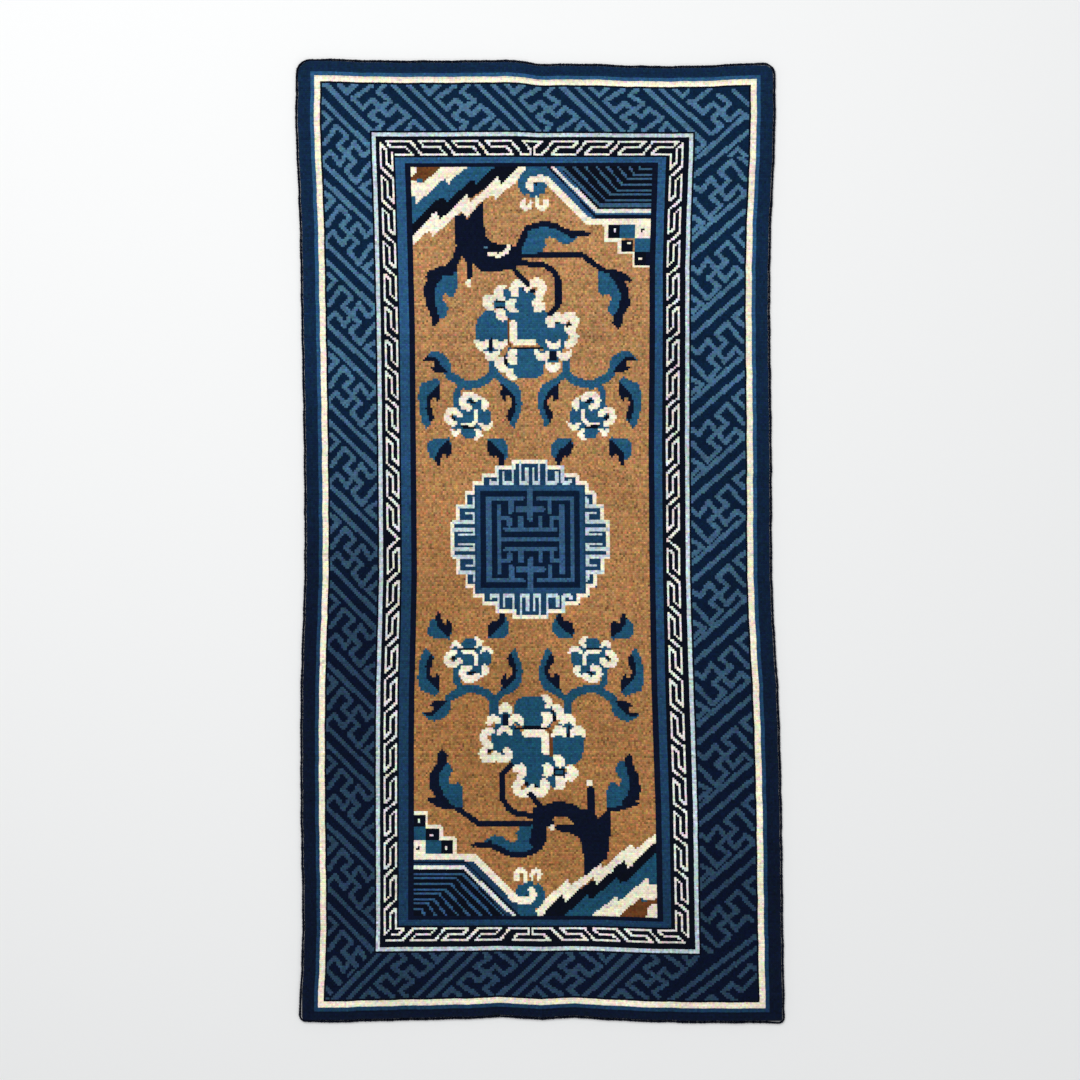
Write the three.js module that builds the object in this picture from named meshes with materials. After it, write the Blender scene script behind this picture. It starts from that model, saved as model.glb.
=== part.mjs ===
// A knotted wool rug of about three feet by six, lying flat, with a plain rim and no fringe.
// Millimetres, +Z up. The origin is on the floor under the middle of the rug's box.
// +Y points to the rug's far end and +X to its right side.

import * as THREE from 'three';

// The height of the pile near the rim, and how far the middle is trodden down.
const pileTop = 10.2;
const wornInMiddle = 1.3;

// The rim is a low roll where the outer warps are overcast, and the pile rises inside it.
// inset: how far in from the rug's outline, height: above the floor.
const rimProfile = [
  { inset: 3.4, height: 0 },
  { inset: 0.9, height: 0.8 },
  { inset: 0, height: 2.9 },
  { inset: 0.7, height: 4.9 },
  { inset: 2.7, height: 5.9 },
  { inset: 5.1, height: 5.3 },
  { inset: 5.8, height: 8.0 },
  { inset: 7.6, height: 9.6 },
  { inset: 11.5, height: pileTop },
];

// The long sides wander as the weaver's tension did: tight in the middle, slack at the near end.
// y: place along the rug, left and right: how far each side lies from the middle line.
const sides = [
  { y: -912, left: 460, right: 465 },
  { y: -740, left: 453, right: 462 },
  { y: -500, left: 456, right: 459 },
  { y: -290, left: 456, right: 453 },
  { y: -180, left: 453, right: 446 },
  { y: -60, left: 449, right: 441 },
  { y: 170, left: 450, right: 440 },
  { y: 440, left: 455, right: 437 },
  { y: 600, left: 458, right: 439 },
  { y: 700, left: 462, right: 444 },
  { y: 800, left: 466, right: 447 },
  { y: 912, left: 464, right: 447 },
];

// The two ends, which are not quite straight either.
// x: place across the rug, far and near: how far each end lies from the middle.
const ends = [
  { x: -466, far: 915, near: 911 },
  { x: -410, far: 917, near: 914 },
  { x: -300, far: 914, near: 911 },
  { x: -140, far: 914, near: 907 },
  { x: -70, far: 915, near: 904 },
  { x: -35, far: 913, near: 906 },
  { x: 5, far: 907, near: 909 },
  { x: 45, far: 908, near: 905 },
  { x: 110, far: 907, near: 908 },
  { x: 180, far: 904, near: 912 },
  { x: 300, far: 904, near: 915 },
  { x: 400, far: 909, near: 915 },
  { x: 465, far: 911, near: 916 },
];

// The corners are worn round, the far ones more than the near ones.
const cornerRadius = { farLeft: 27, farRight: 24, nearLeft: 13, nearRight: 13 };

// Small ripples that the tread and the shears leave in the edge, and where each edge's begin.
const ripples = [
  { size: 0.45, length: 83, start: 0.4 },
  { size: 0.3, length: 37, start: 1.9 },
];
const rippleShift = { left: 0, right: 200, far: 400, near: 600 };

// How finely the outline is drawn.
const stepsAcross = 44;
const stepsAlong = 88;
const stepsInCorner = 5;

// The rings that carry the pile's surface inwards, as shares of the outline's size.
const pileRings = [0.93, 0.8, 0.62, 0.4, 0.18];

// A smooth curve through the rows of a table: the named column, read at a place.
function readBetween(rows, placeColumn, column, place) {
  const last = rows.length - 1;
  const clamped = THREE.MathUtils.clamp(place, rows[0][placeColumn], rows[last][placeColumn]);
  let i = 0;
  while (i < last - 1 && rows[i + 1][placeColumn] < clamped) i += 1;
  const slope = (a, b) => (rows[b][column] - rows[a][column]) / (rows[b][placeColumn] - rows[a][placeColumn]);
  const span = rows[i + 1][placeColumn] - rows[i][placeColumn];
  const t = (clamped - rows[i][placeColumn]) / span;
  const leaving = slope(Math.max(i - 1, 0), i + 1) * span;
  const arriving = slope(i, Math.min(i + 2, last)) * span;
  const risen = t * t * (3 - 2 * t);
  return (
    rows[i][column] * (1 - risen) +
    rows[i + 1][column] * risen +
    leaving * t * (1 - t) * (1 - t) -
    arriving * t * t * (1 - t)
  );
}

function ripple(place) {
  return ripples.reduce((sum, r) => sum + r.size * Math.sin((2 * Math.PI * place) / r.length + r.start), 0);
}

const leftAt = (y) => -readBetween(sides, 'y', 'left', y) + ripple(y + rippleShift.left);
const rightAt = (y) => readBetween(sides, 'y', 'right', y) + ripple(y + rippleShift.right);
const farAt = (x) => readBetween(ends, 'x', 'far', x) + ripple(x + rippleShift.far);
const nearAt = (x) => -readBetween(ends, 'x', 'near', x) + ripple(x + rippleShift.near);

// The centre of a corner's round, found from the two edges that it joins. Each pass lands nearer.
const centrePasses = 4;

function cornerCentre(sideAt, endAt, inX, inY, radius) {
  const centre = new THREE.Vector2(sideAt(0), endAt(0));
  for (let pass = 0; pass < centrePasses; pass += 1) {
    centre.set(sideAt(centre.y) + inX * radius, endAt(centre.x) + inY * radius);
  }
  return centre;
}

const corners = {
  nearRight: cornerCentre(rightAt, nearAt, -1, 1, cornerRadius.nearRight),
  farRight: cornerCentre(rightAt, farAt, -1, -1, cornerRadius.farRight),
  farLeft: cornerCentre(leftAt, farAt, 1, -1, cornerRadius.farLeft),
  nearLeft: cornerCentre(leftAt, nearAt, 1, 1, cornerRadius.nearLeft),
};

// A quarter turn round a corner's centre, from startAngle, without its last point.
function roundCorner(name, startAngle, inset) {
  const points = [];
  const radius = cornerRadius[name] - inset;
  for (let i = 0; i < stepsInCorner; i += 1) {
    const angle = startAngle + (Math.PI / 2) * (i / stepsInCorner);
    points.push(new THREE.Vector2(radius, 0).rotateAround(new THREE.Vector2(), angle).add(corners[name]));
  }
  return points;
}

// Points along an edge between two corners' centres, without its last point.
function edge(from, to, steps, pointAt) {
  const points = [];
  for (let i = 0; i < steps; i += 1) points.push(pointAt(THREE.MathUtils.lerp(from, to, i / steps)));
  return points;
}

// The rug's outline, drawn in by inset, counter-clockwise from above.
function outline(inset) {
  const { nearRight, farRight, farLeft, nearLeft } = corners;
  return [
    ...edge(nearRight.y, farRight.y, stepsAlong, (y) => new THREE.Vector2(rightAt(y) - inset, y)),
    ...roundCorner('farRight', 0, inset),
    ...edge(farRight.x, farLeft.x, stepsAcross, (x) => new THREE.Vector2(x, farAt(x) - inset)),
    ...roundCorner('farLeft', Math.PI / 2, inset),
    ...edge(farLeft.y, nearLeft.y, stepsAlong, (y) => new THREE.Vector2(leftAt(y) + inset, y)),
    ...roundCorner('nearLeft', Math.PI, inset),
    ...edge(nearLeft.x, nearRight.x, stepsAcross, (x) => new THREE.Vector2(x, nearAt(x) + inset)),
    ...roundCorner('nearRight', 1.5 * Math.PI, inset),
  ];
}

// The rug's surface from the floor up over the rim and in across the pile to its middle.
function rugGeometry() {
  const positions = [];
  const addRing = (points, height) => points.forEach((p) => positions.push(p.x, p.y, height));
  rimProfile.forEach((row) => addRing(outline(row.inset), row.height));
  const pileEdge = outline(rimProfile[rimProfile.length - 1].inset);
  pileRings.forEach((share) => {
    const shrunk = pileEdge.map((p) => p.clone().multiplyScalar(share));
    addRing(shrunk, pileTop - wornInMiddle * (1 - share * share));
  });

  const around = pileEdge.length;
  const rings = rimProfile.length + pileRings.length;
  const triangles = [];
  for (let ring = 0; ring < rings - 1; ring += 1) {
    for (let i = 0; i < around; i += 1) {
      const next = (i + 1) % around;
      const [a, b] = [ring * around + i, ring * around + next];
      const [c, d] = [a + around, b + around];
      triangles.push(a, b, d, a, d, c);
    }
  }

  // The middle of the pile and the middle of the flat underside each close with a fan.
  const topMiddle = positions.length / 3;
  positions.push(0, 0, pileTop - wornInMiddle);
  const underMiddle = topMiddle + 1;
  positions.push(0, 0, 0);
  const lastRing = (rings - 1) * around;
  for (let i = 0; i < around; i += 1) {
    const next = (i + 1) % around;
    triangles.push(lastRing + i, lastRing + next, topMiddle);
    triangles.push(next, i, underMiddle);
  }

  const geometry = new THREE.BufferGeometry();
  geometry.setAttribute('position', new THREE.Float32BufferAttribute(positions, 3));
  geometry.setIndex(triangles);
  geometry.computeBoundingBox();
  const middle = geometry.boundingBox.getCenter(new THREE.Vector3());
  geometry.translate(-middle.x, -middle.y, 0);
  geometry.computeVertexNormals();
  return geometry;
}

const wool = new THREE.MeshStandardMaterial({ color: 0x16305a, roughness: 0.95, metalness: 0 });

const rug = new THREE.Mesh(rugGeometry(), wool);
rug.name = 'rug';

const model = new THREE.Group();
model.add(rug);

export default model;
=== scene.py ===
# %% [markdown]
# # A peking rug, knot by knot
#
# The rug is one cloth. Cotton warps run its length, and rows of woollen knots are tied round them and
# clipped to a short pile. This lesson charts the pattern first, one yarn for each knot, as a weaver's
# chart does. Then it grows the pile from the chart, weaves the back, and sews over the rim.
# The frame gives the rug's real outline, so the first cell loads it before anything is made.

# %% Load the frame
import math

import bpy
import numpy as np
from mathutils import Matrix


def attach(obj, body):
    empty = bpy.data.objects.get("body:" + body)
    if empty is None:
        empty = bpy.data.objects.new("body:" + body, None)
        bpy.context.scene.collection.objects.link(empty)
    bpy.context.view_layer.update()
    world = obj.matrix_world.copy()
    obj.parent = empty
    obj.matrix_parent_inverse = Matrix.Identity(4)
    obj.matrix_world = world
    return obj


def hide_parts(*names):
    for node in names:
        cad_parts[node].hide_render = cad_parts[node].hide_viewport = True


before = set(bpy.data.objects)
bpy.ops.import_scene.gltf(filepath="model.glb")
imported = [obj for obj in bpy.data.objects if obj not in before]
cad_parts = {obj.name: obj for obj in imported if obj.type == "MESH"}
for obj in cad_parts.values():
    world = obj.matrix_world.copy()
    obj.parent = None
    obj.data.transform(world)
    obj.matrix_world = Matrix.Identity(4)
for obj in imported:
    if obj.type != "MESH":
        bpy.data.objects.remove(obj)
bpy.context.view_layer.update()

# %% [markdown]
# ## The yarns
#
# A weaver has a basket of dyed yarns. The blues are indigo, dipped once for the pale ones and many
# times for the midnight one, the cream is undyed, and the camel is the brown of the fleece. Each yarn
# could be a material of its own, but then each colour would be a separate surface. Here a yarn is a
# number in a chart, and the number becomes a colour on each knot.

# %% The yarns
YARNS = {
    "navy": "0f2946",
    "mid_blue": "2b587f",
    "cream": "f8eed6",
    "ink": "050a18",
    "camel": "b6885a",
    "fret_blue": "4d7592",
    "fret_ground": "06223e",
    "pale_blue": "c6d5da",
    "petal_blue": "265b7c",
    "leaf_navy": "071026",
    "rock_brown": "6b4020",
    "stripe_blue": "3c617f",
    "white": "e9e8e0",
    "rim_blue": "1a3f5e",
}
NUMBER = {name: number for number, name in enumerate(YARNS)}

KNOTS_ACROSS = 248
KNOT_ROWS = 496
chart = np.full((KNOT_ROWS, KNOTS_ACROSS), NUMBER["navy"], dtype=np.int32)
row_middle, column_middle = np.mgrid[0:KNOT_ROWS, 0:KNOTS_ACROSS] + 0.5
print("a chart of", KNOTS_ACROSS, "knots by", KNOT_ROWS, "rows, with", len(YARNS), "yarns")

# %% [markdown]
# ## Drawing on the chart
#
# Every shape is drawn in knots, counted from the rug's far left corner: the first number goes across
# and the second goes down. A patch fills an outline, and a line has a width. A knot takes a yarn when
# its middle lies inside, so slanting edges come out in steps, as they do on the loom.
# A motif is a short table with a row for each shape: its yarn, its width, and its points. A width of
# nothing means a filled patch, and a line of one point is a dot.

# %% Patches and lines
NO_LENGTH = 1e-9


def knots_in_patch(points):
    inside = np.zeros(chart.shape, dtype=bool)
    for (u0, v0), (u1, v1) in zip(points, points[1:] + points[:1]):
        if v0 == v1:
            continue
        crosses = (row_middle > v0) != (row_middle > v1)
        inside ^= crosses & (column_middle < u0 + (row_middle - v0) * (u1 - u0) / (v1 - v0))
    return inside


def knots_on_line(points, width):
    near = np.zeros(chart.shape, dtype=bool)
    reach = width / 2
    for (u0, v0), (u1, v1) in zip(points, points[1:] or points):
        rows = slice(max(int(min(v0, v1) - reach - 1), 0), int(max(v0, v1) + reach + 2))
        columns = slice(max(int(min(u0, u1) - reach - 1), 0), int(max(u0, u1) + reach + 2))
        u, v = column_middle[rows, columns], row_middle[rows, columns]
        along = (u - u0) * (u1 - u0) + (v - v0) * (v1 - v0)
        length_squared = max((u1 - u0) ** 2 + (v1 - v0) ** 2, NO_LENGTH)
        t = np.clip(along / length_squared, 0, 1)
        near[rows, columns] |= np.hypot(u - u0 - t * (u1 - u0), v - v0 - t * (v1 - v0)) <= reach
    return near


def weave(motif, place=None, within=True):
    """Knot a motif into the chart, with its points moved by place, on the knots within only."""
    for yarn, width, points in motif:
        spots = [place(u, v) for u, v in points] if place else list(points)
        knots = knots_in_patch(spots) if width is None else knots_on_line(spots, width)
        chart[knots & within] = NUMBER[yarn]


# %% [markdown]
# ## The plain bands
#
# The borders are frames, one inside the next. The quickest way to chart them is as a stack of
# rectangles, each laid over the last, so each row below needs only its yarn and its four edges.

# %% Bands from the rim to the field
BANDS = [
    # yarn, left, far, right, near
    ("mid_blue", 8, 7, 240, 490),
    ("cream", 10, 9, 238, 488),
    ("ink", 13, 12, 235, 485),
    ("fret_ground", 14, 13, 234, 484),
    ("ink", 39, 37, 206, 461),
    ("pale_blue", 40, 38, 205, 460),
    ("ink", 42, 40, 203, 458),
    ("mid_blue", 52, 51, 191, 447),
    ("leaf_navy", 57, 54, 187, 444),
    ("camel", 60, 56, 184, 442),
]
for yarn, left, far, right, near in BANDS:
    weave([(yarn, None, [(left, far), (right, far), (right, near), (left, near)])])
FIELD_LEFT, FIELD_FAR, FIELD_RIGHT, FIELD_NEAR = BANDS[-1][1:]
print(len(BANDS), "plain bands from the rim to the field")

# %% [markdown]
# The next two borders are drawn one side at a time, and what is drawn for one side has to stop where
# the next one starts. So the knots of a frame are sorted first: each belongs to the side that it lies
# nearest to, and the sides meet at the corners in mitres, as in a picture frame.

# %% Tell the sides of a frame apart
FRET_FRAME, FRET_WIDTH = (14, 13, 234, 484), 30
MEANDER_FRAME, MEANDER_WIDTH = (43.6, 41.4, 200.8, 456.4), 8.6


def side_masks(left, far, right, near, width):
    """Which side of a frame each knot is on: the sides meet in mitres at the corners."""
    depths = np.stack([
        (row_middle - far) / width,
        (column_middle - left) / width,
        (right - column_middle) / width,
        (near - row_middle) / width,
    ])
    nearest = depths.argmin(axis=0)
    inside = (depths.min(axis=0) > 0) & (depths.min(axis=0) < 1)
    return {name: inside & (nearest == i) for i, name in enumerate(("far", "left", "right", "near"))}


fret_masks = side_masks(*FRET_FRAME, FRET_WIDTH)
meander_masks = side_masks(*MEANDER_FRAME, MEANDER_WIDTH)
print("knots on the far side of the fret:", int(fret_masks["far"].sum()))

# %% [markdown]
# ## The broad fret
#
# The widest border is a slanting key fret in two blues. Between pairs of long diagonals lies one
# unit: a zigzag and its partner, which is much the same line turned half round, and two small hooks.
# One unit is charted for the far side, and a loop repeats it. The other three sides turn or
# mirror the same unit, each at its own pitch, because a weaver fits whole units to each side.

# %% The fret's unit and its four sides
FRET_LINE = 2.4
FRET_DIAGONAL = [(13.0, 0.0), (41.0, 28.0)]
FRET_UNIT = [
    # along the side, in from the cream band
    [(38.0, 1.8), (28.5, 8.5), (34.2, 13.5), (38.5, 8.8), (47.0, 17.0), (51.3, 12.3), (57.8, 17.3),
        (48.0, 24.5)],
    [(45.5, 1.0), (41.5, 4.8), (48.3, 9.6), (43.3, 12.9), (37.1, 17.2), (44.1, 21.3), (40.6, 25.5)],
    [(21.5, 1.4), (25.3, 5.5), (29.9, 1.0)],
    [(56.6, 25.4), (60.2, 19.8), (65.4, 25.4)],
]
FRET_SIDES = [
    # side, first diagonal, pitch, units, gap in a pair, how far the zigzags slip, how much deeper,
    # and how a point s along the side and t in from the cream band lies on the chart
    ("far", 1.6, 43.1, 6, 7.5, 0.0, 1.0, lambda s, t: (s, 12.0 + t)),
    ("left", 7.4, 41.5, 12, 9.0, -1.2, 1.04, lambda s, t: (13.0 + t, s)),
    ("right", 23.3, 41.6, 12, 9.0, 1.6, 1.17, lambda s, t: (235.0 - t, s)),
    ("near", 11.9, 42.6, 6, 7.5, 0.0, 0.98, lambda s, t: (s, 485.0 - t)),
]
UNITS_CUT_BY_THE_CORNER = 2
fret_room = chart == NUMBER["fret_ground"]


def weave_fret(lines, place, within):
    weave([("fret_blue", FRET_LINE, line) for line in lines], place, within)


for side, first, pitch, units, gap, slip, deeper, place in FRET_SIDES:
    for unit in range(-UNITS_CUT_BY_THE_CORNER, units):
        start = first + unit * pitch
        shifted = [(start, FRET_DIAGONAL), (start - gap, FRET_DIAGONAL)]
        shifted += [(start + slip, line) for line in FRET_UNIT]
        lines = [[(shift + s, t * deeper) for s, t in line] for shift, line in shifted]
        weave_fret(lines, place, fret_masks[side] & fret_room)
print("fret woven on", int((chart == NUMBER["fret_blue"]).sum()), "knots")

# %% [markdown]
# At the two right corners the diagonals of the sides run into each other. The weaver closed them with
# hooks at the far one, and let them run through at the near one. Both are charted on their own, over
# whatever the repeats left there.

# %% The right corners of the fret
FAR_CORNER = [(203.0, 0.0), (248.0, 0.0), (248.0, 51.0), (203.0, 51.0)]
FAR_CORNER_LINES = [
    [(200.0, 24.5), (214.6, 38.3), (220.0, 34.0), (214.6, 30.0), (218.5, 26.0), (223.6, 31.2),
     (229.0, 26.0), (233.0, 29.5)],
    [(195.0, 23.0), (204.0, 20.5), (210.0, 26.6), (215.2, 21.5), (220.2, 26.2), (224.0, 22.0)],
    [(206.0, 20.0), (213.5, 13.6)],
    [(224.0, 22.0), (218.2, 17.0)],
    [(226.0, 15.3), (233.5, 22.5)],
    [(202.0, 56.8), (231.0, 29.5)],
    [(202.2, 64.3), (235.0, 36.3)],
    [(200.0, 32.6), (211.2, 43.6), (206.6, 48.0)],
    [(224.6, 50.6), (228.4, 46.4), (233.0, 51.4)],
]
NEAR_CORNER = [(182.0, 485.0), (202.0, 467.0), (235.0, 441.6), (235.0, 485.0)]
NEAR_CORNER_LINES = [
    [(187.0, 486.0), (236.0, 449.2)],
    [(196.0, 486.0), (236.0, 455.8)],
    [(225.0, 486.0), (216.6, 479.6), (221.4, 475.2), (225.6, 479.2), (233.6, 471.2)],
    [(225.6, 471.4), (230.6, 466.0), (236.0, 469.6)],
    [(206.6, 486.0), (210.6, 481.8), (214.8, 486.0)],
]
for outline, lines in ((FAR_CORNER, FAR_CORNER_LINES), (NEAR_CORNER, NEAR_CORNER_LINES)):
    corner = knots_in_patch(outline) & fret_room
    chart[corner] = NUMBER["fret_ground"]
    weave_fret(lines, None, corner)
    print("a corner of the fret woven with", len(lines), "lines")

# %% [markdown]
# ## The narrow meander
#
# Inside the fret runs a cream line that folds back on itself like a row of leaning hooks. It is one
# path from corner to corner, so one fold is charted from its pitch and the loop joins fold to fold.
# Each side runs from both ends to its middle, where the two runs meet in a small peak.

# %% The meander's folds
MEANDER_LINE = 1.2
MEANDER_FOLD = [
    # counted from, how far along, and on which of the three lines, from the outer to the inner
    ("start", 0.0, 2), ("end", -4.6, 2), ("end", -7.6, 1), ("start", 2.0, 1), ("start", -1.0, 0),
    ("end", -5.2, 0), ("end", 0.0, 2),
]
MEANDER_SIDES = [
    # side, start, end of the folds, how many, where the path ends, how far apart its lines are,
    # and how a point s along the side and t in from its outer line lies on the chart
    ("far", 48.5, 116.9, 4, [(4.4, 2), (4.1, 1), (0.6, 0), (5.4, 0)], 3.35,
     lambda s, t: (s, 42.5 + t)),
    ("near", 43.0, 109.0, 4, [(9.6, 2), (9.6, 1), (4.0, 1), (1.5, 0), (10.7, 0)], 2.9,
     lambda s, t: (s, 454.5 - t)),
    ("left", 44.7, 247.6, 12, [], 3.0, lambda s, t: (44.5 + t, s)),
    ("right", 44.7, 247.6, 12, [], 3.1, lambda s, t: (199.5 - t, s)),
]


def meander_fold(start, end):
    counted_from = {"start": start, "end": end}
    return [(counted_from[place] + shift, line) for place, shift, line in MEANDER_FOLD]


for side, start, end, folds, finish, apart, place in MEANDER_SIDES:
    pitch = (end - start) / folds
    run = []
    for fold in range(folds):
        fold_start = start + fold * pitch
        run += meander_fold(fold_start, fold_start + pitch)
    run += [(end + s, line) for s, line in finish]
    middle = run[-1][0]
    for sign in (1, -1):
        points = [(middle + sign * (s - middle), line * apart) for s, line in run]
        weave([("white", MEANDER_LINE, points)], place, meander_masks[side])
print("meander woven on", int((chart == NUMBER["white"]).sum()), "knots")

# %% [markdown]
# ## The rocks and lightning in the corner
#
# A corner of the field holds a mountain in zigzag bands: brown rock, cream and blue slopes, and a white
# bolt with teeth. The corner beside it holds a blue terrace of thin stripes and a chequered step.
# Each is charted once, at the far end. The near end has the same drawing turned half round.

# %% The mountain corner
MOUNTAIN = [
    ("ink", None, [(57, 53), (122, 53), (112, 60), (107, 65), (100, 66), (57, 95)]),
    ("petal_blue", None, [(57, 53), (107, 53), (99, 59.5), (96, 62.5), (93.6, 65.5), (92.2, 62.8),
        (90.2, 63.4), (85, 68), (81, 71), (78.2, 74.6), (76.6, 71.6), (72.5, 73), (69, 77), (66, 80),
        (57, 88)]),
    ("cream", None, [(76.5, 53), (93.5, 53), (84, 60), (80.8, 62.2), (79, 65.4), (77.4, 62), (73.6, 65),
        (70, 68.4), (62.5, 75), (61.6, 70.8), (57, 72), (57, 62.5), (66.5, 64)]),
    ("rock_brown", None, [(57, 53), (78.6, 53), (66.6, 64.2), (65.4, 61.9), (57, 64.4)]),
    ("cream", None, [(57, 53), (63.6, 53), (63.2, 57.6), (60.6, 61.4), (57, 60.4)]),
    ("cream", None, [(117.5, 53), (123.5, 53), (116.6, 60.4), (114, 64.2), (111, 66.6), (108.2, 68),
        (106, 71), (103.6, 73.4), (102, 70.2), (99, 72.2), (96, 74), (93, 77), (90, 80.2), (87.4, 83),
        (85.6, 79.4), (82, 81.4), (80, 83.6), (76, 87.6), (73.4, 89), (70.9, 92), (68.6, 89.2),
        (66, 90.6), (62.5, 93.8), (57, 98.6), (57, 93.8), (64, 88), (67.5, 84.4), (70.6, 80.2),
        (72.6, 79), (74.4, 83), (78, 80.4), (81, 77), (86, 72.6), (88.6, 70.2), (90.2, 74), (96, 69.4),
        (100, 65.2), (104.6, 61), (106.4, 65), (112, 60)]),
]
print(len(MOUNTAIN), "shapes in the mountain")

# %% The terrace corner
STRIPES = 8
STRIPE_LINE = 1.1
STRIPE_START, STRIPE_STEP = 134.8, 5.85
TURN_START, TURN_STEP = (157.3, 76.0), (2.9, -2.62)
TERRACE = [
    ("ink", None, [(130, 53), (186, 53), (186, 78.6), (156, 78.6)]),
    ("mid_blue", None, [(129.5, 53), (133.5, 53), (157.5, 79.6), (186, 79.6), (186, 84), (151, 84),
        (129, 61.5)]),
    ("leaf_navy", 1.2, [(127.5, 53), (155.5, 81.9), (186, 81.9)]),
    ("white", 1.7, [(129.4, 53), (156.4, 79.3), (186, 79.3)]),
    ("cream", 3.6, [(124, 62.4), (129.8, 62.6), (151.0, 84.2), (161, 84.8)]),
    ("cream", 2.8, [(158, 84.6), (186, 84.6)]),
    ("cream", None, [(176.0, 84), (186, 84), (186, 92.8), (176.0, 92.8)]),
    ("ink", 1.9, [(179.6, 88.8)]),
    ("cream", 1.7, [(160.8, 85), (160.8, 93.9), (168.2, 93.9), (168.2, 100.4), (175.4, 100.4),
        (175.4, 107.4), (186, 107.4)]),
    ("ink", None, [(161.6, 86), (167.8, 86), (167.8, 93.2), (161.6, 93.2)]),
    ("petal_blue", None, [(168.2, 86), (175.6, 86), (175.6, 93.2), (168.2, 93.2)]),
    ("ink", None, [(169.0, 93.6), (175.4, 93.6), (175.4, 99.6), (169.0, 99.6)]),
    ("petal_blue", None, [(175.6, 93.2), (186, 93.2), (186, 100.2), (175.6, 100.2)]),
    ("ink", None, [(176.2, 100.4), (182.4, 100.4), (182.4, 106.6), (176.2, 106.6)]),
    ("leaf_navy", None, [(182.4, 100.4), (186, 100.4), (186, 106.6), (182.4, 106.6)]),
    ("white", 1.6, [(165.6, 89.2)]),
    ("white", 1.6, [(172.9, 95.8)]),
    ("white", 1.6, [(179.2, 103.4)]),
]
for stripe in range(STRIPES):
    turn_u, turn_v = (start + stripe * step for start, step in zip(TURN_START, TURN_STEP))
    start_u = STRIPE_START + stripe * STRIPE_STEP
    TERRACE.insert(1, ("stripe_blue", STRIPE_LINE, [(start_u, 53.0), (turn_u, turn_v), (186.0, turn_v)]))

CLOUD = [
    ("petal_blue", 14.5, [(122.2, 64.6)]),
    ("petal_blue", None, [(119, 53), (130, 53), (131, 62), (120, 62)]),
    ("petal_blue", None, [(122, 64), (130, 65), (129, 70), (125, 72.4), (121, 71)]),
    ("cream", 3.4, [(121.8, 67.4), (120.6, 65.0), (122.4, 62.4), (127.6, 62.0), (130.2, 63.2)]),
    ("ink", 1.6, [(124.2, 64.8)]),
    ("cream", None, [(116.2, 76.4), (116.6, 73.6), (118.6, 72.0), (121.2, 72.0), (122.6, 74.4),
        (122.2, 77.2), (120.0, 78.8), (117.6, 78.4)]),
    ("camel", 1.7, [(119.6, 75.0), (120.2, 70.6)]),
    ("cream", None, [(124.0, 71.4), (126.4, 71.6), (128.0, 72.6), (130.6, 72.6), (131.2, 75.4),
        (129.6, 78.0), (127.2, 79.4), (124.8, 78.0), (123.8, 75.2)]),
    ("camel", 1.7, [(127.2, 75.6), (126.8, 70.8)]),
]
print(len(TERRACE), "shapes in the terrace and", len(CLOUD), "in the cloud")

# %% [markdown]
# ## The old tree
#
# A gnarled trunk leans out of the mountain, with one cut stub and two long boughs. Each bough ends in a
# torn leaf of two blues: a body of the lighter one and an edge of the darker one, as if the light
# came from one side. The weaver drew the two trunks differently, so each has its own table.

# %% Boughs and leaves
BOUGHS = [
    ("leaf_navy", 2.9, [(111, 101.6), (148.4, 101.6), (160.6, 110.2), (168.6, 111.2), (173.2, 114.2)]),
    ("leaf_navy", 3.0, [(112, 105.6), (128, 106.4), (133.4, 109.6), (136.0, 114.0), (136.0, 127.4),
        (131.8, 132.0)]),
    # The leaf above the bough.
    ("petal_blue", None, [(118.4, 88.4), (124, 85), (130, 84), (136, 86), (141, 89), (146.4, 90.4),
        (146, 92), (144.6, 94), (141, 95.8), (137.4, 95.4), (134.4, 93.4), (131, 92.2), (128.6, 94),
        (129.8, 96.6), (127, 100.4), (117, 101)]),
    ("leaf_navy", 3.0, [(117.6, 92.6), (119.4, 88.0), (124, 86.2), (129, 85.6), (134.2, 86.4),
        (138.4, 88.8), (142.4, 90.4), (148.6, 90.4)]),
    ("leaf_navy", 2.0, [(142.6, 91.8), (151.6, 90.6)]),
    # The leaf at the left, under the trunk.
    ("petal_blue", None, [(70.4, 112), (82.4, 108), (83.4, 112), (82.8, 118), (81, 122.6),
        (78.4, 123.4), (76.8, 120.8), (75.6, 121.6), (75.2, 124.4), (77.6, 128), (77.4, 131.6),
        (75.6, 134.2), (71.6, 133.6), (69, 128), (69, 118)]),
    ("leaf_navy", None, [(65.8, 115), (69.2, 112.6), (74.4, 110.6), (75, 113), (71.6, 117), (70.8, 124),
        (71.8, 130), (73.2, 133), (72.2, 137), (69.6, 138.6), (68.2, 131), (66, 127), (65.2, 120)]),
    ("leaf_navy", 2.2, [(67.2, 112.6), (75, 110.0), (82, 108.8)]),
    # The leaf at the right, under the long bough.
    ("petal_blue", None, [(157.0, 109.6), (163, 111.4), (169.4, 117), (170, 124), (168.6, 133),
        (164.4, 133.4), (161.8, 129.6), (163.4, 126.0), (164.0, 122.8), (161.4, 121.8), (159.4, 123.0),
        (157.2, 120.6), (156.6, 115.6)]),
    ("leaf_navy", None, [(161, 109.4), (169, 110.4), (174.0, 114.2), (170.6, 114.8), (173.4, 119.4),
        (173.6, 127.6), (170.4, 132.6), (169.4, 138.0), (167.4, 140.2), (164.2, 136.6), (165.4, 132.6),
        (168.4, 128), (168.6, 121.4), (166.4, 116.6)]),
]
print(len(BOUGHS), "shapes in the boughs and their leaves")

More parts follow.
